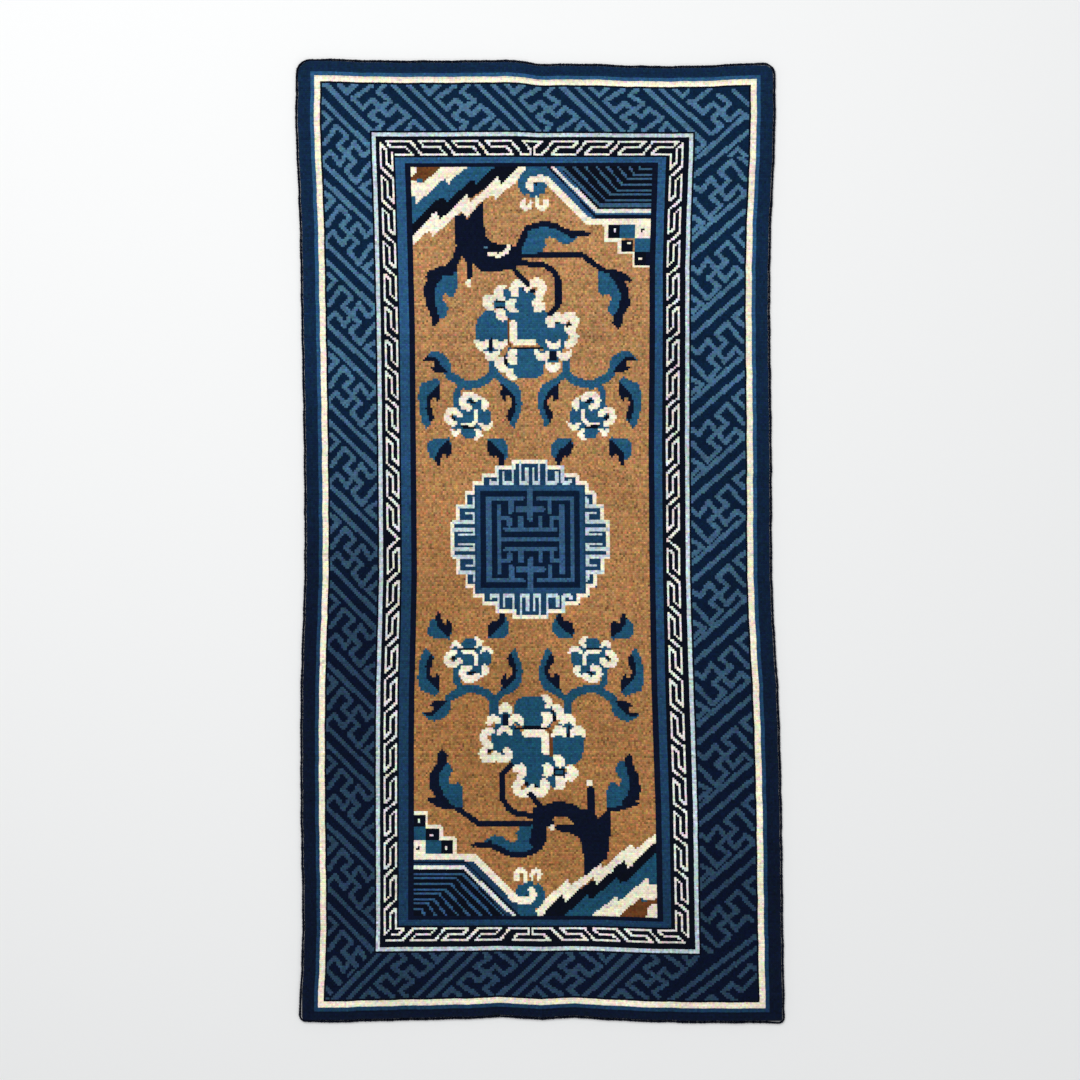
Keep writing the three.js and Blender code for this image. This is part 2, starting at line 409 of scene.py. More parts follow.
# %% The two trunks
FAR_TRUNK = [
    ("leaf_navy", None, [(97.2, 73.6), (93, 77.2), (90.2, 80.6), (88.6, 83.0), (86.4, 79.6),
        (82.2, 81.6), (82, 90), (82.6, 97), (80.6, 102.6), (77.6, 106.2), (72, 107.8), (66.6, 110.4),
        (69.4, 112.4), (80.2, 112.4), (82.4, 108.4), (85.4, 101.4), (88.0, 106), (92, 106.4),
        (95.2, 109.8), (104, 110.2), (110, 109), (113.6, 106), (117, 104), (117, 98), (119.6, 93),
        (119.2, 86.2), (116.6, 91.6), (113.4, 97), (110.8, 96), (104, 95.6), (101, 95), (98.6, 92),
        (97.3, 86)]),
    ("leaf_navy", 3.0, [(89.4, 104), (89.4, 112.4)]),
    ("cream", 2.9, [(88.9, 115.6), (88.9, 116.8)]),
    ("leaf_navy", 2.8, [(111.6, 107.4), (119.8, 116.4)]),
    ("ink", None, [(100, 95.6), (107.4, 95.6), (106.4, 99.2), (99.6, 99.2)]),
    ("cream", 2.2, [(100, 100.6), (104.6, 101.8), (108.6, 100.2), (110.2, 96.6)]),
    ("fret_blue", 1.6, [(97.8, 97.4)]),
]
NEAR_TRUNK = [
    ("leaf_navy", None, [(146.8, 422), (147, 413), (145.6, 404.4), (144, 401.6), (139, 399.2),
        (134, 398.4), (132, 397.2), (132.6, 395.4), (134.4, 394.8), (139, 395.2), (142.8, 394.8),
        (139.4, 391.6), (135, 390.6), (131, 392), (128.6, 395.4), (128, 400), (127.6, 404),
        (126, 407.4), (123.4, 408.6), (121, 406.6), (119, 404), (121, 395), (121, 386), (126, 385.6),
        (131, 383.4), (136, 383.2), (141, 384), (146, 386.8), (149.4, 387), (152.6, 388.4),
        (154.2, 392), (156.4, 390), (159, 387.4), (161, 387), (160.6, 400), (159.2, 412)]),
    ("leaf_navy", 3.2, [(151, 377), (151, 388)]),
    ("cream", 3.6, [(150.6, 373.4)]),
    ("leaf_navy", 2.8, [(119.8, 379.4), (125.4, 386)]),
    ("cream", 2.9, [(130.8, 396.4)]),
]
print(len(FAR_TRUNK), "and", len(NEAR_TRUNK), "shapes in the trunks")

# %% [markdown]
# ## The big peony
#
# The peony is blue petals edged with cream scallops, crowded together so that only a dark cleft
# parts them. It is charted in layers: the blue blocks first, then the cream scallops over them, and last
# the dark pips in the folds. This is the near one, which is the clearer of the two.

# %% The big peony
PEONY = [
    ("petal_blue", None, [(111.5, 338), (113, 331), (117, 329), (128, 329), (131, 345), (117, 345),
        (112, 343)]),
    ("petal_blue", None, [(100, 349), (103, 342), (105, 337), (110, 337), (112, 343), (117, 349),
        (127, 349), (127, 362), (131, 372), (127, 376), (119, 377), (114, 367), (111, 363), (104, 358),
        (99, 357)]),
    ("petal_blue", None, [(131, 348), (136, 342), (143, 342), (148.6, 349), (148.2, 356), (146.6, 361),
        (143, 364.4), (136, 364.6), (131, 360)]),
    ("petal_blue", None, [(126, 358), (133, 360), (138, 365), (139, 371), (133, 376), (124, 374)]),
    ("ink", 1.3, [(113, 345.2), (129, 345.0)]),
    ("rock_brown", 1.3, [(129, 345.0), (131.0, 347.4), (131.0, 359.6)]),
    # The four scallops at the left shoulder.
    ("cream", None, [(103.6, 337.6), (103.8, 334.4), (105.6, 332.4), (109.0, 332.2), (111.0, 334),
        (111.4, 338), (109.4, 337.8), (108.4, 336.6), (106.4, 336.6), (105.4, 337.8)]),
    ("cream", None, [(97.4, 342.6), (98.2, 339.4), (100.6, 338.2), (103.4, 338.8), (105.2, 341.2),
        (105.4, 343.8), (103.2, 342.8), (101.2, 342.2), (99.4, 343.6), (97.6, 344)]),
    ("cream", None, [(109.4, 343.6), (109.4, 340.4), (111, 338.6), (113.8, 338), (116.2, 339.4),
        (117.2, 342), (117, 344.4), (115.2, 343.8), (114, 342.4), (112, 342.4), (110.8, 344)]),
    ("cream", None, [(103.2, 349), (103.4, 346.2), (105.2, 344.4), (108.4, 344.2), (110.4, 345.8),
        (111.2, 349), (109.4, 348.8), (108, 347.4), (106, 347.4), (104.8, 348.8)]),
    # The long curl down the left.
    ("cream", 4.0, [(99.8, 346.6), (96.8, 348.0), (95.8, 350.6), (97.6, 353.4), (99.4, 354.6)]),
    ("cream", 4.3, [(97.0, 356.4), (95.6, 358.8), (97.0, 361.2), (100.0, 361.0), (102.2, 359.4),
        (104.8, 361.2), (107.8, 360.8), (109.2, 358.6), (108.4, 357.4)]),
    ("ink", 1.9, [(98.8, 357.2), (99.8, 356.6)]),
    ("ink", 1.3, [(105.4, 357.6)]),
    # The folded petal at the top right.
    ("petal_blue", None, [(126.6, 330), (131, 332), (136, 335.6), (134, 339.4), (130.6, 344.6),
        (126.6, 344)]),
    ("cream", None, [(126.2, 328.2), (129.4, 328.2), (132, 330), (132.4, 332.8), (130.8, 334.8),
        (128.0, 334.6), (128.6, 332.4), (127.0, 330.6)]),
    ("cream", None, [(132.0, 332.6), (135.6, 332.8), (138, 335), (138.2, 338.4), (136, 340.8),
        (133.0, 340.6), (134.0, 338.2), (133.4, 336.6), (131.6, 335.6)]),
    ("cream", None, [(126, 336.8), (130, 336.8), (132, 339), (131.8, 342.2), (129.2, 344.8),
        (125.8, 344.8), (126.6, 342.6), (127.0, 340.6), (126.4, 338.6)]),
    ("ink", 1.5, [(132.2, 336.2), (133.0, 341.0)]),
    # The scallops over the right block.
    ("cream", None, [(135.2, 343), (136.4, 340), (138.2, 338.4), (141.4, 338.2), (143.6, 340),
        (144.2, 343.8), (141.8, 343.4), (140.2, 342.2), (137.4, 343.8)]),
    ("cream", None, [(131.2, 349.6), (131.8, 346.4), (133.4, 344.4), (136, 343.8), (138.8, 345.2),
        (139.8, 349.6), (137.6, 349.6), (136.4, 348.6), (133.8, 348.8), (132.6, 349.8)]),
    ("cream", None, [(140.8, 349.8), (141.4, 346), (143.4, 344), (146.2, 343.8), (148.6, 346.4),
        (149.4, 349.8), (147.4, 349.6), (146, 348.6), (143.8, 348.8), (142.4, 349.8)]),
    # The square bend in the middle.
    ("cream", 3.7, [(117.8, 348.0), (126.6, 348.0), (128.2, 349.4), (128.2, 357.2)]),
    # The curl and the scallops at the foot.
    ("cream", 4.1, [(113.0, 366.4), (115.6, 365.4), (116.4, 368.0), (114.6, 370.6)]),
    ("cream", 4.3, [(114.6, 372.6), (112.6, 375.4), (113.4, 378.2), (116.4, 379.2), (119.4, 377.6),
        (121.2, 376.0), (123.4, 378.8), (126.2, 378.4), (128.0, 375.4), (127.4, 373.4)]),
    ("cream", None, [(125.6, 363.6), (129.8, 363.4), (132.2, 365.8), (132.0, 369.0), (129.2, 370.6),
        (125.8, 370.2), (127.4, 368.2), (127.0, 366.0)]),
    ("cream", None, [(132.4, 369.8), (135.6, 369.2), (138.6, 371.4), (138.4, 375.4), (135.4, 377.4),
        (131.6, 377.2), (133.2, 374.6), (133.4, 372.0)]),
    ("cream", None, [(131.2, 359.8), (134, 358.6), (137.4, 360.4), (138.2, 364.8), (135.6, 365.6),
        (133, 364.8), (132.6, 362.4)]),
    ("cream", None, [(137.8, 365.0), (141.2, 364.2), (144.4, 366.4), (144.8, 370.0), (142.2, 372.8),
        (138.6, 372.2), (137.8, 369.8), (139.4, 368)]),
    ("ink", None, [(132.2, 365.6), (137.8, 365.6), (137.8, 369.6), (132.2, 369.6)]),
    ("petal_blue", 2.0, [(133.6, 367.6), (136.2, 367.6)]),
    ("ink", 1.8, [(117.4, 374.4), (118.6, 374.2)]),
    ("ink", 1.6, [(122.8, 375.2)]),
    ("leaf_navy", None, [(105.6, 338), (109.2, 338), (109.2, 343.6), (105.6, 343.6)]),
    ("leaf_navy", 1.5, [(140.4, 344.4), (140.2, 349.4)]),
]
print(len(PEONY), "shapes in the big peony")

# %% [markdown]
# ## The small peonies
#
# Between the big flower and the middle stand two small ones on curling stems, each among five torn
# leaves. They are a mirrored pair, so one is charted and the other is the same table with its
# columns counted back.

# %% A small peony and its stem
SMALL_PEONY = [
    ("petal_blue", 4.4, [(101.6, 338), (101.6, 331), (98, 327.4), (92, 325.2), (87, 325), (82.6, 327.2),
        (78, 329.8)]),
    ("petal_blue", 3.2, [(84.6, 325.6), (82.0, 321), (81.6, 313)]),
    ("petal_blue", 3.4, [(101.6, 331), (106, 327.4)]),
    ("petal_blue", None, [(79, 304), (84, 302), (86, 299.2), (92, 299.2), (95, 303), (99.8, 306),
        (100, 311), (97.4, 315), (92, 320), (86, 318), (80, 312)]),
    ("cream", 3.3, [(80.2, 306.4), (77.8, 307.2), (76.4, 309.6), (77.6, 312.2), (80.8, 312.6),
        (83.2, 310.6)]),
    ("cream", None, [(78.2, 303.4), (79.4, 300.8), (81.4, 299.6), (83.2, 301.6), (84.8, 303.8),
        (82.6, 303.8), (81, 302.8), (79.6, 304)]),
    ("cream", None, [(90.8, 298.2), (93, 298.4), (95.6, 300.4), (94.6, 302.6), (92.6, 304.2),
        (91.2, 303.6), (92.4, 301.4), (91.2, 299.8)]),
    ("cream", None, [(93.4, 306.2), (95.4, 303.4), (98.4, 302.6), (100.8, 305), (101.4, 307.4),
        (99.6, 306.8), (97.6, 305.4), (95.8, 306.2), (94.2, 307)]),
    ("cream", 2.2, [(84.6, 305.4), (89.8, 305.6), (92.2, 307.8), (92.4, 312.4)]),
    ("cream", 3.5, [(88.0, 314.2), (85.4, 314.8), (84.8, 317.2), (86.4, 319.8), (89.6, 320.4),
        (92.2, 318.6)]),
    ("cream", None, [(94.4, 314), (96.4, 312.4), (98.8, 314.6), (98.6, 316.8), (96, 318.8),
        (93.2, 319.8), (95.2, 316.8)]),
    ("ink", 1.7, [(79.4, 309.4), (80.4, 308.6)]),
    ("ink", 1.4, [(88.6, 317.2), (91, 316.4)]),
    ("ink", 1.2, [(84, 304.8), (91, 304.4)]),
]
print(len(SMALL_PEONY), "shapes in the small peony and its stem")

# %% [markdown]
# A torn leaf is blue, with a dark shadow along its tear. The leaf and its shadow share the points of
# the tear, so those are given once, and then the rest of each outline.

# %% The torn leaves round a small peony
TORN_LEAVES = [
    # The long leaf at the far left.
    ([(69.2, 312.4), (67.6, 315.6), (68.8, 318.4), (70.4, 319.4), (71.2, 316.4), (72.8, 318.4),
      (73.4, 321.4)],
     [(73.2, 326.8), (71, 328.8), (67, 327), (63, 325.8), (61.4, 320), (61.8, 313), (63.4, 307),
      (65.6, 303.6), (67, 305), (69.6, 308.6)],
     [(73.2, 326.4), (70.6, 324), (66.4, 319.6), (65.4, 313.4), (66.8, 309), (68, 306.6), (69.6, 309)]),
    # The leaf that curls away under it.
    ([(67.6, 333.4), (70.2, 334.6), (69.4, 336.6), (63.6, 336.6)],
     [(65.6, 339.2), (68, 341), (70.6, 341.8), (74, 340.6), (77.2, 338.6), (79, 335), (79.2, 331.6),
      (79, 329.4), (74, 331), (70.6, 331.6)],
     [(66.4, 339.2), (70.4, 338.4), (73.4, 335.4), (76, 332.6), (77, 330.6), (70.6, 331.4)]),
    # The leaf that hangs inward.
    ([(108.2, 309.4), (109, 312.2), (111, 314.4), (111.4, 317), (109.8, 319.4), (108.2, 319.6),
      (108.2, 316.8), (106.2, 318), (105.2, 321), (105.8, 324)],
     [(104.2, 326.4), (106, 328.8), (110, 327.4), (114, 325.2), (116.2, 321), (116.6, 315.6),
      (115.6, 311), (113.8, 307.4), (112.8, 303.4), (110, 306.6)],
     [(104.4, 326.4), (109, 323.6), (112.8, 319.2), (113.6, 315), (112.2, 310.6), (110.2, 306.4)]),
    # The two torn leaves nearest the middle of the rug.
    ([(78.6, 291.4), (76.6, 289.2), (75.6, 291.6), (74.2, 291), (73.2, 288.6), (72.8, 286),
      (71.4, 285.4)],
     [(70, 288.4), (67.4, 290), (66.2, 293.4), (66.4, 296.8), (69, 298.8), (74, 299.2), (78, 299.6),
      (78.8, 296)],
     [(70, 288.6), (71, 292), (74, 295.6), (78, 298.8), (78.8, 295)]),
    ([(106.4, 285.6), (104.4, 285.4), (104, 288.6), (102.4, 290.6), (101.4, 289.6), (98.8, 291.4),
      (97.8, 295)],
     [(98.4, 298.6), (103, 299.2), (107, 298.6), (109.2, 295.6), (109.4, 291), (107.6, 288.4)],
     [(98.6, 298.4), (101, 296.4), (104, 294), (107, 291), (107.2, 288)]),
]
for tear, leaf, shadow in TORN_LEAVES:
    SMALL_PEONY += [("petal_blue", None, tear + leaf), ("leaf_navy", None, tear + shadow)]
print(len(TORN_LEAVES), "torn leaves round it")

# %% [markdown]
# ## The other half of the field
#
# Placing a motif again takes a small function on its points. The corners and the big flower turn half
# round, each about a middle of its own, because the weaver drifted as the work went on. The small
# flowers are mirrored, and at the far end they came out a little longer.

# %% Weave both halves of the field
CORNER_MIDDLE = (120.95, 248.1)
PEONY_MIDDLE = (120.2, 247.2)
PAIR_MIDDLE = 120.8
NEAR_LEAF_TIP, FAR_LEAF_TIP, FAR_STRETCH = 285.4, 210.4, 1.06


def turn_corner(u, v):
    return 2 * CORNER_MIDDLE[0] - u, 2 * CORNER_MIDDLE[1] - v


def turn_peony(u, v):
    return 2 * PEONY_MIDDLE[0] - u, 2 * PEONY_MIDDLE[1] - v


def pair(u, v):
    return 2 * PAIR_MIDDLE - u, v


def far_end(u, v):
    return u, FAR_LEAF_TIP - (v - NEAR_LEAF_TIP) * FAR_STRETCH


def far_pair(u, v):
    return far_end(*pair(u, v))


field = (column_middle > FIELD_LEFT) & (column_middle < FIELD_RIGHT)
field &= (row_middle > FIELD_FAR) & (row_middle < FIELD_NEAR)
for place in (None, pair, far_end, far_pair):
    weave(SMALL_PEONY, place, field)
for place in (None, turn_peony):
    weave(PEONY, place, field)
for place in (None, turn_corner):
    for motif in (MOUNTAIN, CLOUD, TERRACE, BOUGHS):
        weave(motif, place, field)
weave(FAR_TRUNK, None, field)
weave(NEAR_TRUNK, None, field)
print("field charted:", int((chart == NUMBER["camel"]).sum()), "camel knots left bare")

# %% [markdown]
# ## The medallion
#
# The round centre is a blue key fret in a stepped rim. Its outline is one quarter charted as stairs and
# mirrored twice. A cream line follows the stairs inside, and pale blue hooks hang from them towards
# the middle and curl back.

# %% The medallion's stairs
MIDDLE_U, MIDDLE_V = 120.7, 248.0
STAIRS = [(0, 41), (9, 41), (9, 38), (18, 38), (18, 33.5), (26, 33.5), (26, 29.5), (31, 29.5), (31, 24.5),
          (35, 24.5), (35, 17.5), (39.5, 17.5), (39.5, 9), (42.5, 9), (42.5, 0)]
RIM_LINE = 1.7
RIM_LINE_INSET = 0.975
quarter = STAIRS + [(u, -v) for u, v in STAIRS[-2::-1]]
stairs = quarter + [(-u, v) for u, v in quarter[-2:0:-1]]
medallion = knots_in_patch([(MIDDLE_U + u, MIDDLE_V + v) for u, v in stairs])
chart[medallion] = NUMBER["rim_blue"]
rim_line = [
    (MIDDLE_U + u * RIM_LINE_INSET, MIDDLE_V + v * RIM_LINE_INSET) for u, v in stairs + stairs[:1]
]
weave([("cream", RIM_LINE, rim_line)])
print(len(stairs), "corners in the medallion's stepped rim")

# %% [markdown]
# The hooks and the key fret are drawn for one quarter and mirrored across and along. The hooks that
# hang from the ends come first, then those of the sides, which are a little shorter.

# %% The medallion's hooks and its key fret
HOOK_LINE = 1.4


def four_ways(motif):
    """Weave a motif with its mirrors across and along."""
    for su in (1, -1):
        for sv in (1, -1):
            weave(motif, lambda u, v: (MIDDLE_U + su * u, MIDDLE_V + sv * v), medallion)


HOOKS = [
    [(9.0, 40.0), (9.0, 28.9), (14.2, 28.9), (14.2, 34.6)],
    [(17.2, 37.5), (17.2, 29.2), (21.2, 29.2), (21.2, 30.4)],
    [(5.1, 40.0), (5.1, 28.9), (1.7, 28.9), (1.7, 36.6)],
    [(41.5, 8.8), (30.2, 8.8), (30.2, 13.4), (34.2, 13.4)],
    [(38.5, 16.8), (30.2, 16.8), (30.2, 21.0)],
    [(41.5, 5.0), (30.2, 5.0), (30.2, 2.4), (38.0, 2.4)],
]
SQUARE = [
    ("mid_blue", None, [(0, 0), (28.6, 0), (28.6, 27.6), (0, 27.6)]),
    ("fret_ground", None, [(0, 0), (26.4, 0), (26.4, 25.2), (0, 25.2)]),
]
KEY_LINE = 2.6
KEY_FRET = [
    [(4.4, 21.2), (22.2, 21.2), (22.2, 0)],
    [(16.6, 17.0), (16.6, 0)],
    [(0.0, 26.0), (0.0, 10.5)],
    [(10.4, 21.0), (10.4, 14.2)],
    [(0.0, 15.4), (6.6, 15.4)],
    [(16.6, 10.8), (11.4, 10.8), (11.4, 7.6)],
    [(0.0, 5.2), (13.0, 5.2)],
    [(5.2, 10.8), (5.2, 5.4)],
    [(0.0, 0.0), (14.4, 0.0)],
]
four_ways([("pale_blue", HOOK_LINE, hook) for hook in HOOKS])
four_ways(SQUARE)
four_ways([("stripe_blue", KEY_LINE, line) for line in KEY_FRET])
print("medallion charted:", int(medallion.sum()), "knots")

# %% [markdown]
# ## From knots to the floor
#
# No hand-woven rug is square. The warps pull in at the middle and slacken at the near end, and the
# pattern wanders with them. The frame holds the rug's true outline as rings of points at set heights, so
# the edges of the pile are read from the ring where the pile starts. The field's four edges wander in
# their own way, so each has a short table. Every other knot is placed between those eight lines.

# %% The lines that place the knots
MM = 0.001
PILE_RING_HEIGHT = 8.0 * MM
RIM_RING_HEIGHT = 5.9 * MM
WIDEST_RING_HEIGHT = 2.9 * MM
RING_TOLERANCE = 0.05 * MM
ON_THE_EDGE = 0.85
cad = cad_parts["rug"]
cad_points = np.array([vertex.co for vertex in cad.data.vertices])


def ring_at(height):
    at_height = abs(cad_points[:, 2] - height) < RING_TOLERANCE
    ring = np.unique(cad_points[at_height].round(6), axis=0)
    return ring[np.argsort(np.arctan2(ring[:, 1], ring[:, 0]))]


def read_edge(ring, axis, sign, reach):
    """One edge of a ring as a function of the place along it, without its rounded ends."""
    along = ring[:, 1 - axis]
    on_edge = (ring[:, axis] * sign > ON_THE_EDGE * abs(ring[:, axis]).max()) & (abs(along) < reach)
    points = ring[on_edge][np.argsort(along[on_edge])]
    return lambda place: np.interp(place, points[:, 1 - axis], points[:, axis])


pile_ring = ring_at(PILE_RING_HEIGHT)
SIDE_REACH, END_REACH = 0.875, 0.41
left_edge = read_edge(pile_ring, 0, -1, SIDE_REACH)
right_edge = read_edge(pile_ring, 0, 1, SIDE_REACH)
far_edge = read_edge(pile_ring, 1, 1, END_REACH)
near_edge = read_edge(pile_ring, 1, -1, END_REACH)
print("points in the pile's ring:", len(pile_ring))

# %% The field's own edges
FIELD_SIDES_MM = [
    # along the rug, the field's left edge, its right edge
    (-907, -242.6, 227.4), (-737, -239.7, 222.7), (-509, -238.8, 218.9), (-396, -238.8, 215.1),
    (-282, -237.8, 211.3), (-168, -235.0, 209.4), (-54, -233.1, 207.5), (173, -235.0, 205.6),
    (400, -236.9, 207.5), (514, -239.7, 207.5), (628, -242.6, 210.3), (741, -246.4, 214.1),
    (912, -246.4, 214.1),
]
FIELD_ENDS_MM = [
    # across the rug, the field's far edge, its near edge
    (-464, 708.8, -710.2), (-236, 709.2, -710.2), (0, 710.2, -710.2), (113, 710.6, -710.2),
    (227, 711.1, -713.9), (464, 711.4, -715.8),
]


def read_table(rows, column):
    places, values = zip(*((row[0] * MM, row[column] * MM) for row in rows))
    return lambda place: np.interp(place, places, values)


print("the field's edges are given at", len(FIELD_SIDES_MM), "places along and",
      len(FIELD_ENDS_MM), "across")

# %% [markdown]
# Two of the lines give a knot's place across only when its place along is known, and the other way
# round. Starting from a straight grid and correcting it a few times settles both.
#
# The corners of the pile are worn round. A square grid can follow a round corner if it is squeezed
# the way a square is squeezed into a circle, and then no knot is lost.

# %% Place every crossing of the grid
PILE_START = 1.45
U_LINES = [PILE_START, FIELD_LEFT, FIELD_RIGHT, KNOTS_ACROSS - PILE_START]
V_LINES = [PILE_START, FIELD_FAR, FIELD_NEAR, KNOT_ROWS - PILE_START]
HALF_LENGTH = 0.91
SETTLING_PASSES = 4
x_lines = [left_edge, read_table(FIELD_SIDES_MM, 1), read_table(FIELD_SIDES_MM, 2), right_edge]
y_lines = [far_edge, read_table(FIELD_ENDS_MM, 1), read_table(FIELD_ENDS_MM, 2), near_edge]
columns = np.clip(np.arange(1.0, KNOTS_ACROSS), U_LINES[0], U_LINES[-1])
rows = np.clip(np.arange(1.0, KNOT_ROWS), V_LINES[0], V_LINES[-1])


def shares_of(lines, places):
    """How much each line says about each place: one at the line, nothing at the next."""
    return np.array([np.interp(places, lines, unit) for unit in np.eye(len(lines))])


u_shares, v_shares = shares_of(U_LINES, columns), shares_of(V_LINES, rows)
straight = np.interp(rows, [0, KNOT_ROWS], [HALF_LENGTH, -HALF_LENGTH])
y = np.repeat(straight[:, None], len(columns), axis=1)
for settling in range(SETTLING_PASSES):
    x = sum(share[None, :] * line(y) for share, line in zip(u_shares, x_lines))
    y = sum(share[:, None] * line(x) for share, line in zip(v_shares, y_lines))


# %% Round the corners of the grid
CORNER_ALONG, CORNER_ACROSS = 0.9, 0.44


def round_corner(side_line, end_line, side, end):
    corner = np.array([side_line(end * CORNER_ALONG), end_line(side * CORNER_ACROSS)])
    gap = np.hypot(*(pile_ring[:, :2] - corner).T).min()
    radius = gap / (math.sqrt(2) - 1)
    a = (x * side - (corner[0] * side - radius)) / radius
    b = (y * end - (corner[1] * end - radius)) / radius
    inside = (a > 0) & (b > 0)
    a, b = a[inside], b[inside]
    x[inside] = side * (corner[0] * side - radius + radius * a * np.sqrt(1 - b * b / 2))
    y[inside] = end * (corner[1] * end - radius + radius * b * np.sqrt(1 - a * a / 2))
    print("a corner of radius", round(radius / MM, 1), "mm")


round_corner(left_edge, far_edge, -1, 1)
round_corner(right_edge, far_edge, 1, 1)
round_corner(left_edge, near_edge, -1, -1)
round_corner(right_edge, near_edge, 1, -1)

# %% [markdown]
# ## The height of the pile
#
# The pile is about a centimetre from floor to tip. It is trodden down in the middle of the rug, and at
# the edge it falls to the rim. Wool dyed black or dark brown with iron rots first, so those
# knots stand lower than the rest, and the pattern can be felt with a finger.

# %% Heights, tones and unevenness
PILE_HEIGHT = 10.2 * MM
WORN_IN_MIDDLE = 1.3 * MM
EDGE_FALL = ([0.0, 1.8 * MM, 5.7 * MM], [8.0 * MM, 9.6 * MM, PILE_HEIGHT])
TUFT = 1.0 * MM
TUFT_NOISE = 0.22 * MM
CROSSING_NOISE = 0.28 * MM
NAP_LEAN = 0.45 * MM
LOWER_YARNS = {"ink": 0.6 * MM, "rock_brown": 0.5 * MM, "leaf_navy": 0.2 * MM}
HALF_PILE_WIDTH, HALF_PILE_LENGTH = 0.45, 0.905
PILE_SEED = 18
rng = np.random.default_rng(PILE_SEED)


def pile_height(x, y):
    across = np.where(x < 0, x / left_edge(y), x / right_edge(y))
    along = np.where(y > 0, y / far_edge(x), y / near_edge(x))
    from_edge = np.minimum((1 - across) * HALF_PILE_WIDTH, (1 - along) * HALF_PILE_LENGTH)
    share = np.clip(np.maximum(across, along), 0, 1)
    return np.interp(from_edge, *EDGE_FALL) - WORN_IN_MIDDLE * (1 - share * share)


def cell_middle(values):
    return (values[1:, 1:] + values[1:, :-1] + values[:-1, 1:] + values[:-1, :-1]) / 4


crossing_z = pile_height(x, y) - TUFT
tip_x, tip_y = cell_middle(x), cell_middle(y)
cells = chart[1:-1, 1:-1]
lowered = np.zeros(len(YARNS))
for name, drop in LOWER_YARNS.items():
    lowered[NUMBER[name]] = drop
tip_z = pile_height(tip_x, tip_y) - lowered[cells] + rng.uniform(-TUFT_NOISE, TUFT_NOISE, cells.shape)
tip_x = tip_x + rng.uniform(-CROSSING_NOISE, CROSSING_NOISE, cells.shape)
tip_y = tip_y - NAP_LEAN + rng.uniform(-CROSSING_NOISE, CROSSING_NOISE, cells.shape)
for values in (x, y):
    values[1:-1, 1:-1] += rng.uniform(-CROSSING_NOISE, CROSSING_NOISE, x.shape)[1:-1, 1:-1]
print("pile from", round(float(tip_z.min() / MM), 1), "to", round(float(tip_z.max() / MM), 1), "mm")

# %% [markdown]
# ## The colour of each knot
#
# Towards the near end the colours grow darker and deeper: the blues deepen and the camel warms.
# Yarn is dyed in small lots, and single rows come out lighter or darker. Camel is undyed and the
# most mixed of all. Each knot gets its yarn's colour, blended between a far colour and a darker near
# colour by its place, and a tone of its own. The colour goes into one attribute and the tone into
# another, so that the material can still weigh them.

# %% Colours and tones
# The colours are darker and deeper towards the near end; the far end keeps the yarns' own colours.
NEAR_END_COLOURS = dict(
    YARNS,
    navy="08142a",
    mid_blue="1b3c5a",
    camel="a87747",
    fret_blue="2b445b",
    fret_ground="040f28",
    stripe_blue="33597f",
    petal_blue="1d4f6a",
)
TONE_NOISE = {"camel": 0.22, "cream": 0.06, "white": 0.08, "pale_blue": 0.12}
PLAIN_TONE_NOISE = 0.12
ROW_NOISE = 0.05
HUE_NOISE = 0.11
DARKEST_TONE, PALEST_TONE = 0.4, 1.7
# Where the darker near colours come in, and over what length, at the left and the right of the field.
DARKENING_SIDES = (-0.24, 0.2)
DARKENING_STARTS = (0.42, 0.5)
DARKENING_LENGTHS = (0.6, 1.1)


def linear_colour(code):
    """A screen colour such as 0f2946 as amounts of light, by the standard curve."""
    parts = [int(code[i:i + 2], 16) / 255 for i in (0, 2, 4)]
    return [p / 12.92 if p <= 0.04045 else ((p + 0.055) / 1.055) ** 2.4 for p in parts]


far_colours = np.array([linear_colour(code) for code in YARNS.values()])
near_colours = np.array([linear_colour(NEAR_END_COLOURS[name]) for name in YARNS])
darkening_start = np.interp(tip_x, DARKENING_SIDES, DARKENING_STARTS)
darkening_length = np.interp(tip_x, DARKENING_SIDES, DARKENING_LENGTHS)
nearness = np.clip((darkening_start - tip_y) / darkening_length, 0, 1)[..., None]
knot_colours = far_colours[cells] * (1 - nearness) + near_colours[cells] * nearness
knot_colours = np.clip(knot_colours * (1 + HUE_NOISE * rng.normal(0, 1, knot_colours.shape)), 0, 1)
noise_of = np.array([TONE_NOISE.get(name, PLAIN_TONE_NOISE) for name in YARNS])
knot_tones = 1 + noise_of[cells] * rng.normal(0, 1, cells.shape)
knot_tones = knot_tones + ROW_NOISE * rng.normal(0, 1, cells.shape[0])[:, None]
knot_tones = np.clip(knot_tones, DARKEST_TONE, PALEST_TONE)
print(cells.size, "knots with a mean tone of", round(float(knot_tones.mean()), 3))

# %% [markdown]
# ## Growing the pile
#
# Each knot is a small tuft: four sloping faces that rise from its corners to a leaning tip. Neighbours
# share their corners, so a strip of pile is one closed surface with walls and a flat underside. Real
# hair would be millions of strands, and at this distance each knot is no wider than a pixel or two.
# One helper makes a mesh of plain numbers and writes the colours and tones on its faces.

